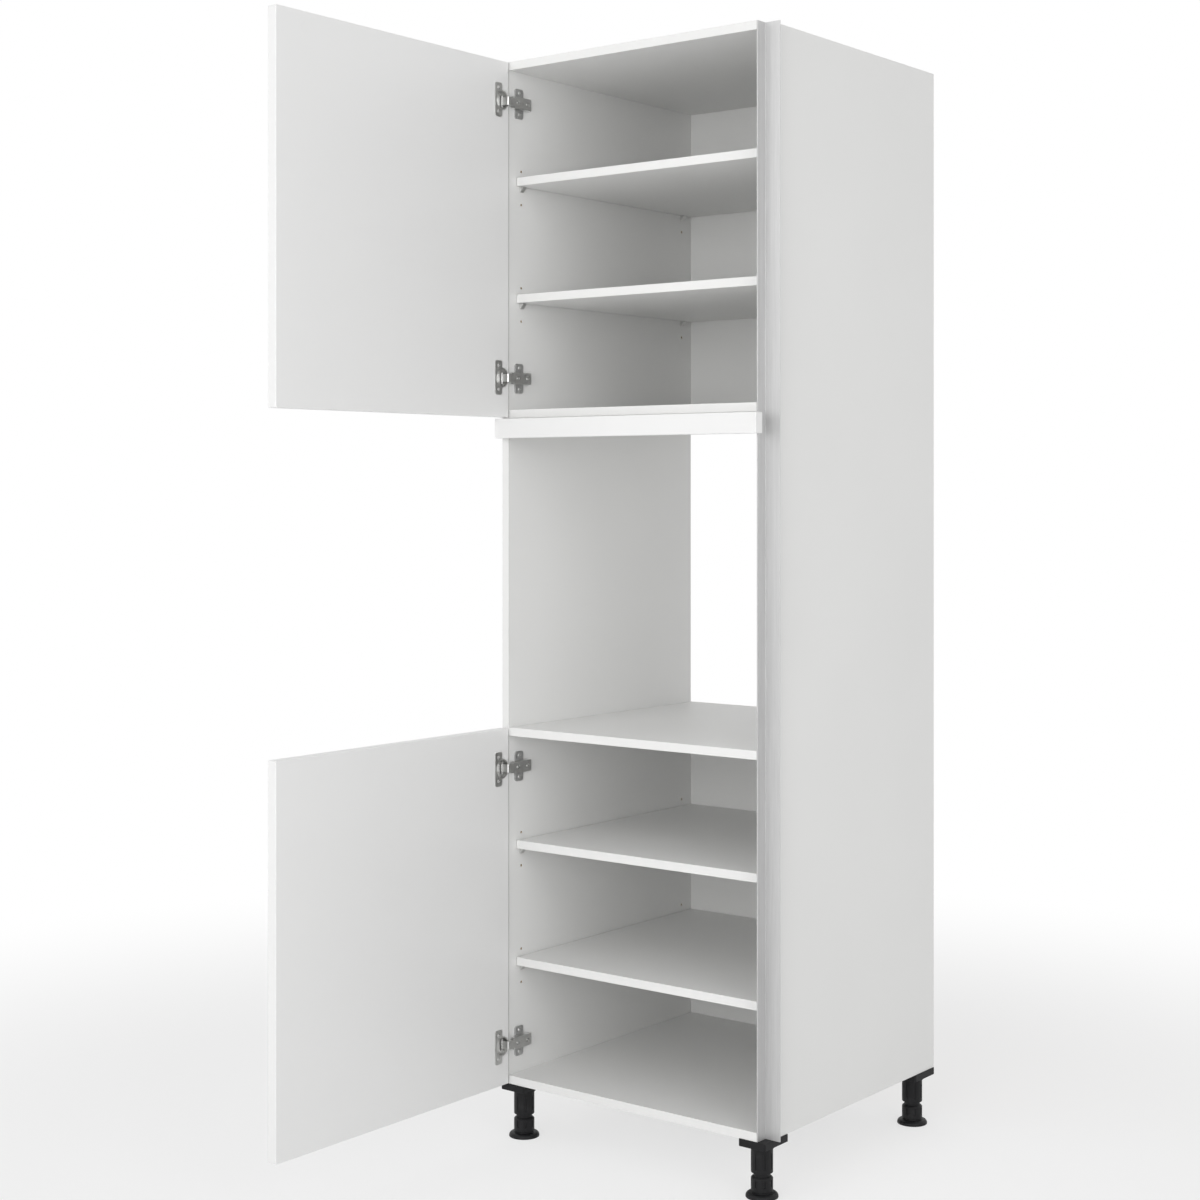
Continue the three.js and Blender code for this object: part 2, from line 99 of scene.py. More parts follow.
# %% A socket with arithmetic
class Field:
    """A number that varies over a surface, or from ray to ray."""

    def __init__(self, tree, socket):
        self.tree = tree
        self.socket = socket

    def math(self, operation, *others):
        made = self.tree.node(
            "ShaderNodeMath", {"operation": operation},
            dict(enumerate((self, *others))))
        return Field(self.tree, made.outputs[0])

    def __add__(self, other):
        return self.math("ADD", other)

    def __sub__(self, other):
        return self.math("SUBTRACT", other)

    def __mul__(self, other):
        return self.math("MULTIPLY", other)

    def __rsub__(self, other):
        return self.math("MULTIPLY_ADD", -1.0, other)

    __radd__ = __add__
    __rmul__ = __mul__

    def near(self, value, reach):
        """1 where this number lies within reach of value."""
        return self.math("COMPARE", value, reach)

    def above(self, value):
        """1 where this number is larger than value."""
        return self.math("GREATER_THAN", value)

    def most(self, other):
        """The larger of two numbers."""
        return self.math("MAXIMUM", other)

    def ramp(self, low, high):
        """0 below low, 1 above high, smooth between them."""
        made = self.tree.node(
            "ShaderNodeMapRange", {"interpolation_type": "SMOOTHSTEP"},
            {"Value": self, "From Min": low, "From Max": high})
        return Field(self.tree, made.outputs["Result"])


# %% A tree of nodes
class Tree:
    """The nodes of a material or of the sky."""

    def __init__(self, node_tree):
        self.node_tree = node_tree

    def node(self, kind, settings=None, inputs=None):
        made = self.node_tree.nodes.new(kind)
        for key, value in (settings or {}).items():
            setattr(made, key, value)
        for key, value in (inputs or {}).items():
            self.feed(made.inputs[key], value)
        return made

    def feed(self, socket, value):
        """Gives a socket a Field, a link from another socket or a constant."""
        if isinstance(value, Field):
            value = value.socket
        if isinstance(value, bpy.types.NodeSocket):
            self.node_tree.links.new(value, socket)
        else:
            socket.default_value = value

    def seen(self):
        """1 for a ray that looks at the surface, straight or by way of another one."""
        rays = self.node("ShaderNodeLightPath").outputs
        looks = Field(self, rays["Is Camera Ray"])
        for ray in ("Is Glossy Ray", "Is Transmission Ray"):
            looks = looks.most(Field(self, rays[ray]))
        return looks


# %% [markdown]
# A finish adds the words that a surface needs: noise, cells, a tint between two colours
# and a bump. The scale of a noise says about how many of its spots lie side by side in
# a metre, so 1500 is a grain finer than a millimetre and 3 is a drift across a whole
# board.

# %% A finish
MIX_LOW, MIX_HIGH, MIX_RESULT = 6, 7, 2  # the colour sockets of a Mix node


class Finish(Tree):
    """A material whose nodes are written as expressions."""

    def __init__(self, name):
        self.material = bpy.data.materials.new(name)
        self.material.use_nodes = True
        super().__init__(self.material.node_tree)
        self.shader = self.node_tree.nodes["Principled BSDF"]
        self.place = self.node("ShaderNodeTexCoord").outputs["Object"]
        parts = self.node("ShaderNodeSeparateXYZ", inputs={0: self.place})
        self.x, self.y, self.z = (Field(self, socket) for socket in parts.outputs)

    def stretched(self, x=1.0, y=1.0, z=1.0):
        """Object coordinates, scaled along each axis."""
        return self.node("ShaderNodeMapping", inputs={
            "Vector": self.place, "Scale": (x, y, z)}).outputs["Vector"]

    def noise(self, scale, detail=2.0, at=None):
        made = self.node("ShaderNodeTexNoise", inputs={
            "Vector": at or self.place, "Scale": scale, "Detail": detail})
        return Field(self, made.outputs["Fac"])

    def cells(self, scale, at):
        made = self.node("ShaderNodeTexVoronoi", inputs={"Vector": at, "Scale": scale})
        return Field(self, made.outputs["Distance"])

    def tint(self, mask, low, high):
        """A colour between two colours, by a mask."""
        made = self.node("ShaderNodeMix", {"data_type": "RGBA"}, {
            "Factor": mask, MIX_LOW: self.paint(low), MIX_HIGH: self.paint(high)})
        return made.outputs[MIX_RESULT]

    def bump(self, height, distance, strength):
        inputs = {"Height": height, "Distance": distance, "Strength": strength}
        return self.node("ShaderNodeBump", inputs=inputs).outputs["Normal"]

    @staticmethod
    def paint(colour):
        """A colour with its alpha. Anything else stays what it is."""
        return (*colour, 1.0) if isinstance(colour, tuple) else colour

    def set(self, **sockets):
        """Feeds the shader: a constant, a Field or a colour for each socket."""
        for key, value in sockets.items():
            self.feed(self.shader.inputs[key.replace("_", " ")], self.paint(value))
        return self.material


def dimmed(colour, share):
    return tuple(value * share for value in colour)


def dress(node, material):
    """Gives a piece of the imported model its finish."""
    slots = nodes[node].data.materials
    slots.clear()
    slots.append(material)


# %% [markdown]
# ## Coated board
#
# The carcass is chipboard with a white melamine coat pressed on both faces, and a
# plastic band glued along each front edge. The coat is nearly even: a fine pearl grain
# that shows only as a change of gloss. Where the saw or the drill went through, the raw
# chips show, so the finish has to know which points lie on a coated face. Each board is
# a plain slab, so its own box answers that: a point is coated if it lies on one of the
# two broad faces or on a banded edge. One function makes a finish for each board from
# that box.

# %% Coat and chips
COAT = (0.86, 0.86, 0.85)
BAND_JOINT = (0.36, 0.35, 0.33)
CHIP_PALE = (0.62, 0.47, 0.30)
CHIP_DARK = (0.30, 0.19, 0.10)
SKIN = 0.5 * MM  # taken as lying on a face
BAND = 1 * MM  # thickness of the edge band


def chipboard(finish):
    """Colour and height of sawn chipboard: flakes a few millimetres long."""
    flakes = finish.cells(420.0, finish.stretched(y=0.45))
    dust = finish.noise(2600.0, detail=3.0)
    mask = (flakes * 0.84 + dust * 0.6).ramp(0.25, 0.8)
    return finish.tint(mask, CHIP_DARK, CHIP_PALE), mask


def coat(finish, raw, joint):
    """White melamine, with raw chips and a band joint where the masks say so."""
    cloud = finish.noise(3.0).ramp(0.3, 0.7)
    pearl = finish.noise(1500.0)
    handled = finish.noise(9.0, detail=4.0).ramp(0.45, 0.8)
    chips, relief = chipboard(finish)
    white = finish.tint(cloud, dimmed(COAT, 0.985), COAT)
    lined = finish.tint(joint * 0.8, white, BAND_JOINT)
    gloss = 0.44 + 0.10 * pearl + 0.05 * handled
    height = (pearl * 0.4 - joint) * (1 - raw) + relief * 3.0 * raw
    return finish.set(
        Base_Color=finish.tint(raw, lined, chips),
        Roughness=gloss * (1 - raw) + 0.85 * raw,
        Normal=finish.bump(height, 0.06 * MM, 0.6),
        Specular_IOR_Level=0.45)


# %% Finishes of the boards
def board_finish(name, broad, banded):
    """Coated on the faces across the axis named broad, banded on the listed edges."""
    low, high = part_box(name)
    finish = Finish(name + "_coat")
    place = {"x": finish.x, "y": finish.y, "z": finish.z}
    face = place[broad]
    coated = face.near(getattr(low, broad), SKIN).most(
        face.near(getattr(high, broad), SKIN))
    joint = None
    for axis, end in banded:
        edge = getattr((low, high)[end], axis)
        inward = (BAND, -BAND)[end]
        coated = coated.most(place[axis].near(edge, SKIN))
        seam = place[axis].near(edge + inward, BAND / 4)
        joint = seam if joint is None else joint.most(seam)
    return coat(finish, raw=1 - coated, joint=joint)


FRONT, REAR = ("y", 0), ("y", 1)
LEFT, RIGHT = ("x", 0), ("x", 1)
SIDES = ("side_left", "side_right")
LEVELS = ("bottom_board", "niche_floor", "niche_ceiling", "top_board")
SHELVES = [f"{part}_shelf_{place}" for part in ("lower", "upper") for place in (1, 2)]
ALL_ROUND = [FRONT, REAR, LEFT, RIGHT]
board_finishes = {name: board_finish(name, "x", [FRONT]) for name in SIDES}
board_finishes |= {name: board_finish(name, "z", [FRONT]) for name in LEVELS}
board_finishes |= {name: board_finish(name, "z", ALL_ROUND) for name in SHELVES}
print("finishes for boards:", len(board_finishes))

# %% [markdown]
# ## Fronts
#
# The doors and the closing strip are finer than the carcass: satin lacquer over a
# smooth board, with a faint orange peel that bends reflections but not the colour.
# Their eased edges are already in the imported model's mesh, so they only need their
# finish.

# %% Fronts
LACQUER = (0.88, 0.88, 0.875)
FRONTS = ("lower_door", "upper_door", "closing_strip")


def lacquer(name):
    finish = Finish(name + "_lacquer")
    drift = finish.noise(2.5).ramp(0.3, 0.7)
    peel = finish.noise(240.0)
    grain = finish.noise(2200.0, detail=1.0)
    wiped = finish.noise(11.0, detail=5.0).ramp(0.45, 0.8)
    return finish.set(
        Base_Color=finish.tint(drift, dimmed(LACQUER, 0.99), LACQUER),
        Roughness=0.30 + 0.05 * grain + 0.05 * wiped,
        Normal=finish.bump(peel * 0.8 + grain * 0.2, 0.05 * MM, 0.5),
        Specular_IOR_Level=0.5)


for name in FRONTS:
    dress(name, lacquer(name))
print("lacquered fronts:", len(FRONTS))

# %% [markdown]
# ## Back panels
#
# The backs are three millimetres of hardboard: painted white on the side that faces the
# goods, bare brown fibre on the side that faces the wall. The screen side of hardboard
# has a fine woven print, made here from two crossed sine waves.

# %% Hardboard
FIBRE_PALE = (0.36, 0.235, 0.13)
FIBRE_DARK = (0.27, 0.168, 0.09)
SCREEN_PITCH = 1.8 * MM
BACKS = ("back_lower", "back_upper")


def hardboard(name):
    low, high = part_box(name)
    finish = Finish(name + "_hardboard")
    bare = finish.y.above((low.y + high.y) / 2)
    fibres = finish.noise(900.0, detail=6.0, at=finish.stretched(z=0.35))
    cloud = finish.noise(7.0, detail=3.0)
    flecks = finish.noise(1200.0).ramp(0.55, 0.75)
    tone = (fibres * 0.7 + cloud * 0.3).ramp(0.3, 0.7)
    brown = finish.tint(tone, FIBRE_DARK, FIBRE_PALE)
    brown = finish.tint(flecks * 0.35, brown, FIBRE_PALE)
    turn = 2 * math.pi / SCREEN_PITCH
    woven = (finish.x * turn).math("SINE") * (finish.z * turn).math("SINE")
    paint = finish.noise(1100.0)
    return finish.set(
        Base_Color=finish.tint(bare, COAT, brown),
        Roughness=0.5 + 0.08 * paint + 0.3 * bare,
        Normal=finish.bump(woven * bare + paint * 0.3, 0.12 * MM, 0.5))


for name in BACKS:
    dress(name, hardboard(name))
print("hardboard backs:", len(BACKS))

# %% [markdown]
# ## Anodised grip profile
#
# Extruded aluminium, brushed along its length and anodised. The brush marks are noise
# squeezed across the profile and drawn out along it, and they change roughness more
# than colour. The anodic film makes the metal a little darker and softer than bare
# metal.

# %% Anodised aluminium
ANODISED = (0.62, 0.62, 0.62)
ANODISED_DARK = (0.55, 0.55, 0.55)


def anodised():
    finish = Finish("anodised_aluminium")
    strokes = finish.noise(1400.0, detail=3.0, at=finish.stretched(z=0.012))
    broad = finish.noise(160.0, at=finish.stretched(z=0.03))
    tone = (strokes * 0.6 + broad * 0.4).ramp(0.3, 0.7)
    return finish.set(
        Base_Color=finish.tint(tone, ANODISED_DARK, ANODISED),
        Metallic=0.6, Roughness=0.40 + 0.14 * strokes,
        Normal=finish.bump(strokes, 0.03 * MM, 0.5))


# %% [markdown]
# ## Nickel, zinc and black plastic
#
# Pressed steel parts are nickel plated: bright, nearly neutral, with the soft
# unevenness of rolled sheet. The mounting plates are cast zinc under the same plating,
# so they look grainier. The legs are moulded in black plastic with a spark-eroded
# grain, a little paler where it has been rubbed.

# %% Metals and plastic
NICKEL_BRIGHT = (0.70, 0.70, 0.69)
NICKEL_DULL = (0.62, 0.62, 0.61)
ZINC_DARK = (0.56, 0.56, 0.56)
ZINC_PALE = (0.65, 0.65, 0.65)
PLASTIC_BLACK = (0.010, 0.010, 0.011)
PLASTIC_RUBBED = (0.022, 0.022, 0.023)


def nickel():
    finish = Finish("nickel_plated_steel")
    rolled = finish.noise(350.0, detail=4.0)
    spots = finish.noise(60.0, detail=5.0).ramp(0.5, 0.75)
    return finish.set(
        Base_Color=finish.tint(spots, NICKEL_BRIGHT, NICKEL_DULL),
        Metallic=1.0, Roughness=0.26 + 0.12 * rolled + 0.08 * spots,
        Normal=finish.bump(rolled, 0.04 * MM, 0.4))


def cast_zinc():
    finish = Finish("cast_zinc")
    grain = finish.noise(1900.0, detail=4.0)
    flow = finish.noise(120.0, detail=3.0).ramp(0.35, 0.7)
    return finish.set(
        Base_Color=finish.tint(flow, ZINC_DARK, ZINC_PALE),
        Metallic=1.0, Roughness=0.38 + 0.16 * grain,
        Normal=finish.bump(grain, 0.08 * MM, 0.6))


def black_plastic():
    finish = Finish("black_plastic")
    grain = finish.noise(2400.0)
    rubbed = finish.noise(45.0, detail=4.0).ramp(0.5, 0.8)
    return finish.set(
        Base_Color=finish.tint(rubbed, PLASTIC_BLACK, PLASTIC_RUBBED),
        Roughness=0.42 + 0.14 * grain + 0.08 * rubbed,
        Normal=finish.bump(grain, 0.10 * MM, 0.7),
        Specular_IOR_Level=0.22)


NICKEL = nickel()
ZINC = cast_zinc()
PLASTIC = black_plastic()
print("shared finishes:", NICKEL.name, ZINC.name, PLASTIC.name)

# %% [markdown]
# ## Shaping small parts
#
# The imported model's solids are exact but plain: sharp edges, and round forms of two
# dozen flats. Nothing real has a perfectly sharp edge, and the thin bright line that
# light draws along a small rounding is what makes an edge look like metal or moulded
# plastic. So the small parts are modelled again in two ways. A part whose outline is
# right is copied, its loose triangles are merged, and its sharp edges are bevelled. A
# turned part is spun anew from its profile with many more steps.
#
# A rounding must not bend the light on the sheet beside it. So plane sheets are shaded
# flat, curved ones smooth, and where a sheet runs on into a bend, its normals follow
# the larger face.

# %% Shaping helpers
SHARP = math.radians(33)  # edges that turn more than this are edges, not round faces
FLAT = math.radians(0.5)  # faces that turn less than this belong to one plane
SAME_PLACE = 0.002 * MM  # corners closer than this are one corner
bodies = frame["record"]["behaviour"]["bodies"]


def body_of(node):
    """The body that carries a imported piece."""
    return next(body for body, members in bodies.items() if node in members)


def copy_of(node):
    """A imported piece's mesh, its triangles merged and its flat faces whole."""
    shape = bmesh.new()
    shape.from_mesh(nodes[node].data)
    bmesh.ops.remove_doubles(shape, verts=shape.verts, dist=SAME_PLACE)
    bmesh.ops.dissolve_limit(
        shape, angle_limit=FLAT, verts=shape.verts, edges=shape.edges)
    return shape


def shaded(shape):
    """Smooths the faces where the surface curves and leaves plane sheets flat."""
    for face in shape.faces:
        face.smooth = any(
            FLAT < edge.calc_face_angle(0.0) < SHARP for edge in face.edges)
    return shape


def rounded(shape, radius, segments=2, shortest=0.0):
    """Bevels the edges that turn sharply."""
    shaded(shape)
    sharp = [edge for edge in shape.edges
             if edge.is_manifold and edge.calc_face_angle() > SHARP
             and edge.calc_length() > shortest]
    made = bmesh.ops.bevel(
        shape, geom=sharp, offset=radius, segments=segments, profile=0.5,
        affect="EDGES", clamp_overlap=True, material=-1)
    for face in made["faces"]:
        face.smooth = True
    return shape


def finished(name, shape, material, body, stands_for=None):
    """Makes the piece's object and gives it its body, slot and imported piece."""
    for edge in shape.edges:
        edge.smooth = edge.is_manifold and edge.calc_face_angle() < SHARP
    data = bpy.data.meshes.new(name)
    shape.to_mesh(data)
    shape.free()
    data.materials.append(material)
    made = bpy.data.objects.new(name, data)
    bpy.context.scene.collection.objects.link(made)
    by_area = made.modifiers.new("normals weighted by area", "WEIGHTED_NORMAL")
    by_area.keep_sharp = True
    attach(made, body)
    if stands_for:
        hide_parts(stands_for)
    return made


# %% [markdown]
# ## Boards with banded edges
#
# An edge band is glued on and its corners are scraped to a radius of less than half a
# millimetre. The copies of the boards get that rounding on their long edges. The rims
# of the shelf bores stay sharp, as a drill leaves them.

# %% Boards
BAND_ROUND = 0.4 * MM
LONG_EDGE = 12 * MM
for name, material in board_finishes.items():
    board = rounded(copy_of(name), BAND_ROUND, shortest=LONG_EDGE)
    finished(name + "_banded", board, material, body_of(name), name)
print("boards with rounded bands:", len(board_finishes))

# %% [markdown]
# ## Pressed, cast and extruded fittings
#
# Hinge cups and arms, strip brackets and shelf supports are pressed from sheet steel,
# and the mounting plates are cast. The press draws the sheet over the edge of the die,
# so an edge gets a rounding of about a tenth of the sheet's thickness or more. The
# extruded grip profile comes out of its die with tighter corners.

# %% Fittings
PRESS_ROUND = 0.3 * MM
CAST_ROUND = 0.4 * MM
EXTRUDED_ROUND = 0.25 * MM
pressed = [node for node in nodes if node.endswith(("_cup", "_arm"))
           or "_support_" in node or "_bracket_" in node]
for name in pressed:
    part = rounded(copy_of(name), PRESS_ROUND)
    finished(name + "_pressed", part, NICKEL, body_of(name),
             name)
cast = [node for node in nodes if node.endswith("_plate")]
for name in cast:
    part = rounded(copy_of(name), CAST_ROUND)
    finished(name + "_cast", part, ZINC, body_of(name), name)
grip = rounded(copy_of("grip_profile"), EXTRUDED_ROUND)
finished("grip_extrusion", grip, anodised(), body_of("grip_profile"),
         "grip_profile")
print("fittings:", len(pressed), "pressed,", len(cast), "cast")

# %% [markdown]
# ## Screw legs
#
# A leg is a fluted tube in a socket plate, and a screw foot whose collar is turned by
# hand. Tube and foot are turned forms, so each starts as a profile of radius and
# height, spun in 96 steps. Flutes and finger notches are then sunk into whole patches
# of that surface with an inset that has depth, which gives them the sloping walls that
# a mould needs.

# %% Turning
STEPS = 96
GROOVES = 8  # flutes round a tube, and notches round a collar
GROOVE_WIDTH = 4 * MM
GROOVE_SLOPE = 0.3 * MM  # how far a groove's wall leans
WALL_REACH = 0.5 * MM  # faces this close to a wall's radius belong to the wall


def spun(profile, steps=STEPS):
    """Spins [radius, height] points about the z axis."""
    shape = bmesh.new()
    corners = [shape.verts.new((radius, 0, height)) for radius, height in profile]
    lines = [shape.edges.new(pair) for pair in zip(corners, corners[1:])]
    bmesh.ops.spin(
        shape, geom=corners + lines, cent=(0, 0, 0), axis=(0, 0, 1),
        angle=2 * math.pi, steps=steps, use_merge=True)
    bmesh.ops.remove_doubles(shape, verts=shape.verts, dist=SAME_PLACE)
    bmesh.ops.recalc_face_normals(shape, faces=shape.faces)
    return shape


def grooved(shape, low, high, radius, depth):
    """Sinks grooves, spaced evenly round an upright turned wall."""
    for index in range(GROOVES):
        middle = index * 2 * math.pi / GROOVES + math.pi / STEPS
        patch = []
        for face in shape.faces:
            at = face.calc_center_median()
            away = math.remainder(math.atan2(at.y, at.x) - middle, 2 * math.pi)
            if (low < at.z < high and abs(away) * radius < GROOVE_WIDTH / 2
                    and at.xy.length > radius - WALL_REACH):
                patch.append(face)
        bmesh.ops.inset_region(
            shape, faces=patch, thickness=GROOVE_SLOPE, depth=-depth,
            use_even_offset=True)
    return shape


# %% [markdown]
# All heights are measured from the floor. Both profiles have two extra corners in their
# outer wall, where the grooves begin and end.

# %% Tube and foot
SOCKET_BOTTOM = 87 * MM  # lower end of the ring that holds the tube
TUBE_RADIUS = 19.5 * MM
TUBE_BORE = 15.5 * MM
TUBE_TOP = 99.7 * MM
TUBE_BOTTOM = 43.5 * MM
TUBE_ROUND = 0.8 * MM
FLUTE_LOW = TUBE_BOTTOM + 8 * MM
FLUTE_HIGH = SOCKET_BOTTOM - 8 * MM
FLUTE_DEPTH = 1.0 * MM
COLLAR_TOP = 37 * MM
COLLAR_BOTTOM = 11.5 * MM
COLLAR_CHAMFER = 3 * MM
NOTCH_LOW = COLLAR_BOTTOM + 8 * MM
NOTCH_HIGH = COLLAR_TOP - 4.5 * MM
NOTCH_DEPTH = 1.2 * MM
NECK_RADIUS = 18 * MM
DOME_TOP = 8.5 * MM
DOME_INNER = 21.5 * MM  # radius at which the dome has reached its full height
DOME_STEPS = 8
FOOT_RADIUS = 29 * MM
FOOT_RIM = 2 * MM
FOOT_ROUND = 0.5 * MM
SPINDLE_RADIUS = 15 * MM
SPINDLE_TOP = 84 * MM


def tube_shape():
    shape = spun([
        (TUBE_BORE, TUBE_TOP), (TUBE_BORE, TUBE_BOTTOM), (TUBE_RADIUS, TUBE_BOTTOM),
        (TUBE_RADIUS, FLUTE_LOW), (TUBE_RADIUS, FLUTE_HIGH),
        (TUBE_RADIUS, TUBE_TOP), (TUBE_BORE, TUBE_TOP)])
    rounded(shape, TUBE_ROUND)
    return grooved(shape, FLUTE_LOW, FLUTE_HIGH, TUBE_RADIUS, FLUTE_DEPTH)


def foot_shape():
    dome = []
    for step in range(DOME_STEPS + 1):
        angle = step / DOME_STEPS * math.pi / 2
        dome.append((DOME_INNER + (FOOT_RADIUS - DOME_INNER) * math.cos(angle),
                     FOOT_RIM + (DOME_TOP - FOOT_RIM) * math.sin(angle)))
    shape = spun([
        (0, 0), (FOOT_RADIUS, 0), *dome,
        (NECK_RADIUS, DOME_TOP), (NECK_RADIUS, COLLAR_BOTTOM),
        (TUBE_RADIUS, COLLAR_BOTTOM),
        (TUBE_RADIUS, NOTCH_LOW), (TUBE_RADIUS, NOTCH_HIGH),
        (TUBE_RADIUS, COLLAR_TOP - COLLAR_CHAMFER),
        (TUBE_RADIUS - COLLAR_CHAMFER, COLLAR_TOP),
        (SPINDLE_RADIUS, COLLAR_TOP), (SPINDLE_RADIUS, SPINDLE_TOP), (0, SPINDLE_TOP)])
    rounded(shape, FOOT_ROUND)
    return grooved(shape, NOTCH_LOW, NOTCH_HIGH, TUBE_RADIUS, NOTCH_DEPTH)


# %% Legs
SOCKET_ROUND = 0.7 * MM
SOCKET_ROUND_STEPS = 3
LEGS = ("front_left", "front_right", "rear_left", "rear_right")
for leg in LEGS:
    low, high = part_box(f"leg_{leg}_tube")
    middle = (low + high) / 2
    print("leg", leg, "at", round(middle.x, 4), round(middle.y, 4))
    for kind, shape in (("tube", tube_shape()), ("foot", foot_shape())):
        node = f"leg_{leg}_{kind}"
        bmesh.ops.translate(shape, verts=shape.verts, vec=(middle.x, middle.y, 0))
        finished(node + "_moulded", shape, PLASTIC, body_of(node),
                 node)
    node = f"leg_{leg}_socket"
    socket = rounded(copy_of(node), SOCKET_ROUND, SOCKET_ROUND_STEPS)
    finished(node + "_moulded", socket, PLASTIC, body_of(node),
             node)

# %% [markdown]
# ## Screws
#
# Every fitting is held by screws with a domed head and a cross recess. The head is a
# spun dome. Planes could cut the cross into it, but planes that pass close to a corner
# of the dome leave slivers, and a mesh with slivers doesn't stay closed when it is
# exported. So the cross is marked by whole patches of the dome: those at its middle,
# and two side by side along each arm. That patch is then sunk. One head is a few
# hundred faces, so it can be repeated without weight.

# %% A screw head
HEAD_STEPS = 32
DOME_RINGS = 5
ARM_RING, HUB_RING = 3, 4  # dome rings at which the cross's arms and its middle end
RIM_SHARE = 0.35  # share of a head's height below its dome
RECESS_SHARE = 0.45  # depth of the recess, as a share of the height
RECESS_SLOPE = 0.03  # lean of its walls, as a share of the radius


def screw_head(radius, height):
    """A domed head that stands on z = 0, its recess looking up."""
    rim = height * RIM_SHARE
    turns = [ring / DOME_RINGS * math.pi / 2 for ring in range(DOME_RINGS)]
    dome = [(radius * math.cos(turn), rim + (height - rim) * math.sin(turn))
            for turn in turns]
    shape = spun([(0, 0), (radius, 0), *dome, (0, height)], HEAD_STEPS)
    arm, hub = dome[ARM_RING][0], dome[HUB_RING][0]
    half_arm = 2 * math.pi / HEAD_STEPS
    cross = []
    for face in shape.faces:
        at = face.calc_center_median()
        reach = at.xy.length
        off_axis = abs(math.remainder(math.atan2(at.y, at.x), math.pi / 2))
        if at.z > rim and (reach < hub or reach < arm and off_axis < half_arm):
            cross.append(face)
    bmesh.ops.inset_region(
        shape, faces=cross, thickness=radius * RECESS_SLOPE,
        depth=-height * RECESS_SHARE, use_even_offset=True)
    return shaded(shape)


def screws(name, places, direction, size, body):
    """One object of equal heads at several places, all looking in one direction."""
    up = Vector((0, 0, 1))
    turned = up.rotation_difference(Vector(direction)).to_matrix().to_4x4()
    head = screw_head(*size)
    pattern = bpy.data.meshes.new("head")
    head.to_mesh(pattern)
    head.free()
    all_heads = bmesh.new()
    for place in places:
        before = len(all_heads.verts)
        all_heads.from_mesh(pattern)
        bmesh.ops.transform(
            all_heads, matrix=Matrix.Translation(Vector(place)) @ turned,
            verts=all_heads.verts[before:])
    bpy.data.meshes.remove(pattern)
    return finished(name, all_heads, NICKEL, body)


# %% Screws of the hinges
EAR_HEAD = (3.4 * MM, 1.1 * MM)  # radius and height of a head
EAR_SCREW = 22.5 * MM  # from the hinge's height to a screw of the cup's flange
EAR_HALF = 10 * MM  # half the width of the flange's ears
WING_HEAD = (3.6 * MM, 1.3 * MM)
WING_SCREW = 20.5 * MM  # from the hinge's height to a screw of the mounting plate
WING_AHEAD = 28 * MM  # from the carcass front to those screws
WING_FACE = 2.5 * MM  # thickness of the plate's wings
ARM_HEAD = (2.9 * MM, 2.3 * MM)
ADJUSTER, LOCK = 15 * MM, 43 * MM  # from the carcass front to the screws in the arm
BOTH_WAYS = (-1, 1)
carcass_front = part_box("side_left")[0].y
hinges = [node[:-len("_cup")] for node in nodes if node.endswith("_hinge_cup")]
for hinge in hinges:
    cup_low, cup_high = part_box(hinge + "_cup")
    plate_low, plate_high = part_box(hinge + "_plate")
    height = (plate_low.z + plate_high.z) / 2
    ears = [(cup_high.x, cup_low.y + EAR_HALF, height + way * EAR_SCREW)
            for way in BOTH_WAYS]
    screws(hinge + "_cup_screws", ears, (1, 0, 0), EAR_HEAD, body_of(hinge + "_cup"))
    wings = [(plate_low.x + WING_FACE, carcass_front + WING_AHEAD,
              height + way * WING_SCREW) for way in BOTH_WAYS]
    screws(hinge + "_plate_screws", wings, (1, 0, 0), WING_HEAD, "carcass")
    setters = [(plate_high.x, carcass_front + place, height)
               for place in (ADJUSTER, LOCK)]
    screws(hinge + "_arm_screws", setters, (1, 0, 0), ARM_HEAD, "carcass")
print("hinges with screws:", len(hinges))

# %% Screws of the brackets
BRACKET_HEAD = (3.2 * MM, 1.5 * MM)
BRACKET_SHEET = 2 * MM
BRACKET_ASIDE = 8 * MM  # from a bracket's middle to the screws in the strip
BRACKET_UP = 12 * MM  # from a bracket's lower end to those screws
BRACKET_AHEAD = (9 * MM, 24 * MM)  # from its rear end to the screws in the board
for side in ("left", "right"):
    bracket = "strip_bracket_" + side
    low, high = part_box("strip_bracket_" + side)
    middle = (low.x + high.x) / 2
    upright = [(middle + way * BRACKET_ASIDE, low.y + BRACKET_SHEET, low.z + BRACKET_UP)
               for way in BOTH_WAYS]
    screws(bracket + "_front_screws", upright, (0, 1, 0), BRACKET_HEAD, "carcass")
    level = [(middle, high.y - ahead, high.z - BRACKET_SHEET)
             for ahead in BRACKET_AHEAD]
    screws(bracket + "_top_screws", level, (0, 0, -1), BRACKET_HEAD, "carcass")
    print(bracket, "screws:", len(upright) + len(level))

# %% Screws of the leg sockets
SOCKET_HEAD = (3.6 * MM, 1.5 * MM)
SOCKET_UNDERSIDE = 92 * MM  # of its plate, from the floor
SOCKET_CORNER = 6.5 * MM  # from a socket plate's edges to a screw
for leg in LEGS:
    low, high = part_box(f"leg_{leg}_socket")
    corners = [(x, y, SOCKET_UNDERSIDE)
               for x in (low.x + SOCKET_CORNER, high.x - SOCKET_CORNER)
               for y in (low.y + SOCKET_CORNER, high.y - SOCKET_CORNER)]
    screws(f"leg_{leg}_socket_screws", corners, (0, 0, -1), SOCKET_HEAD, "carcass")
print("leg sockets with screws:", len(LEGS))

# %% [markdown]
# ## Staples
#
# The hardboard backs lie in a rebate and are stapled all round. A staple shows as the
# short bar of its crown, driven almost flush. Each is a stretched cube with its edges
# bevelled, and all staples of one panel are one piece.

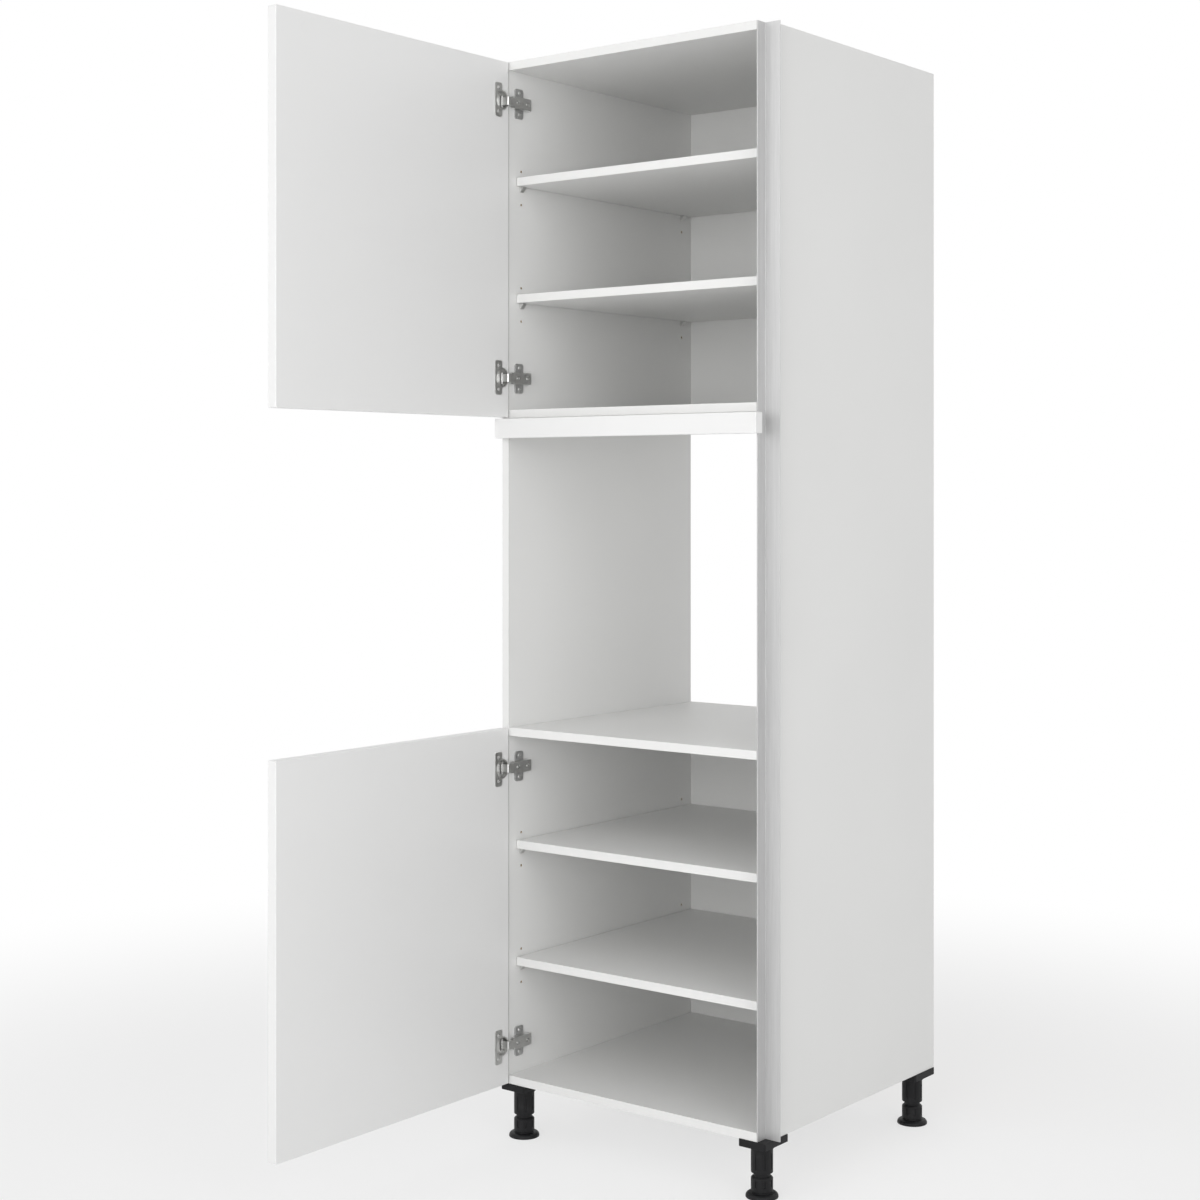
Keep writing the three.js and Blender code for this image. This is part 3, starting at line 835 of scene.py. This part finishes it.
# %% Staples
CROWN_LENGTH = 10 * MM
CROWN_PROUD = 0.5 * MM  # half of it lies in the panel
CROWN_WIRE = 1.2 * MM
CROWN_ROUND = 0.15 * MM
STAPLE_PITCH = 100 * MM
SIDE_INSET = 4 * MM  # from a panel's sides to its upright staples
END_INSET = 8 * MM  # from its ends to its level staples


def staple(shape, x, y, z, upright):
    across, up = (CROWN_WIRE, CROWN_LENGTH) if upright else (CROWN_LENGTH, CROWN_WIRE)
    size = Matrix.Diagonal((across, CROWN_PROUD, up, 1))
    bmesh.ops.create_cube(shape, size=1, matrix=Matrix.Translation((x, y, z)) @ size)


def spread(low, high):
    """Evenly spaced places between two ends, about a staple pitch apart."""
    count = round((high - low) / STAPLE_PITCH)
    return [low + (high - low) * (index + 0.5) / count for index in range(count)]


for panel_name in BACKS:
    low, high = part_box(panel_name)
    shape = bmesh.new()
    for z in spread(low.z, high.z):
        for x in (low.x + SIDE_INSET, high.x - SIDE_INSET):
            staple(shape, x, high.y, z, upright=True)
    for x in spread(low.x, high.x):
        for z in (low.z + END_INSET, high.z - END_INSET):
            staple(shape, x, high.y, z, upright=False)
    rounded(shape, CROWN_ROUND, segments=1)
    print(panel_name, "staple faces:", len(shape.faces))
    finished(panel_name + "_staples", shape, NICKEL, body_of(panel_name))

# %% [markdown]
# ## Floor and background
#
# The picture's ground is plain white. The floor is a large sheet that keeps the soft
# shadow of the legs and doors. For the camera, and for reflections, part of its light
# is an even white glow that grows to all of it a few metres out, so that the floor runs
# into the white background without a horizon.

# %% Floor
FLOOR_HALF = 30.0
FLOOR_DROP = 0.2 * MM  # below the feet, so that no two faces share a place
GLOW_NEAR = 0.62  # share of the glow beside the legs
FADE_START, FADE_END = 1.1, 2.8  # metres from the middle


def white_floor():
    finish = Finish("white_floor")
    finish.set(Base_Color=(0.88, 0.88, 0.88), Roughness=0.9, Specular_IOR_Level=0.1)
    away = (finish.x * finish.x + finish.y * finish.y).math("SQRT")
    share = GLOW_NEAR + (1 - GLOW_NEAR) * away.ramp(FADE_START, FADE_END)
    glow = finish.node("ShaderNodeEmission", inputs={"Strength": 1.0})
    mixed = finish.node("ShaderNodeMixShader", inputs={
        0: finish.seen() * share, 1: finish.shader.outputs[0], 2: glow.outputs[0]})
    surface = finish.node_tree.nodes["Material Output"].inputs["Surface"]
    finish.feed(surface, mixed.outputs[0])
    return finish.material


ground = bmesh.new()
bmesh.ops.create_grid(ground, x_segments=1, y_segments=1, size=FLOOR_HALF)
bmesh.ops.translate(ground, verts=ground.verts, vec=(0, 0, -FLOOR_DROP))
floor_data = bpy.data.meshes.new("floor")
ground.to_mesh(floor_data)
ground.free()
floor_data.materials.append(white_floor())
floor = bpy.data.objects.new("floor", floor_data)
bpy.context.scene.collection.objects.link(floor)
print("floor", round(floor.dimensions.x), "by", round(floor.dimensions.y), "metres")

# %% [markdown]
# ## Light
#
# A white object on white ground is read by its half tones, so no two faces should be
# lit alike. The strongest panel stands almost straight ahead and reaches into the
# compartments. One at the right lights the side more weakly, and the weakest stands
# high at the left. An even sky fills the rest. It is white to the camera and to
# reflections, and darker as a lamp.

# %% Light
SKY_LEVEL = 0.56  # as a lamp, where 1 is the white that the camera sees
PANELS = (  # name, place, aim, side in metres, watts
    ("left_panel", (-1.4, -4.6, 3.4), (0, 0, 1.1), 2.6, 22),
    ("front_panel", (1.2, -4.5, 1.6), (0, 0.3, 1.1), 2.2, 62),
    ("right_panel", (4.2, -1.8, 2.2), (0.2, 0.2, 1.0), 2.4, 40),
)


def sky():
    world = bpy.data.worlds.new("sky")
    bpy.context.scene.world = world
    world.use_nodes = True
    tree = Tree(world.node_tree)
    background = world.node_tree.nodes["Background"]
    tree.feed(background.inputs["Color"], (1, 1, 1, 1))
    tree.feed(background.inputs["Strength"], SKY_LEVEL + (1 - SKY_LEVEL) * tree.seen())


def light_panel(name, place, aim, side, watts):
    data = bpy.data.lights.new(name, "AREA")
    data.shape = "RECTANGLE"
    data.size = data.size_y = side
    data.energy = watts
    lamp = bpy.data.objects.new(name, data)
    lamp.location = place
    view = Vector(aim) - Vector(place)
    lamp.rotation_euler = view.to_track_quat("-Z", "Y").to_euler()
    bpy.context.scene.collection.objects.link(lamp)


sky()
for panel in PANELS:
    light_panel(*panel)
bpy.context.scene.view_settings.view_transform = "Standard"
print("light panels:", len(PANELS))
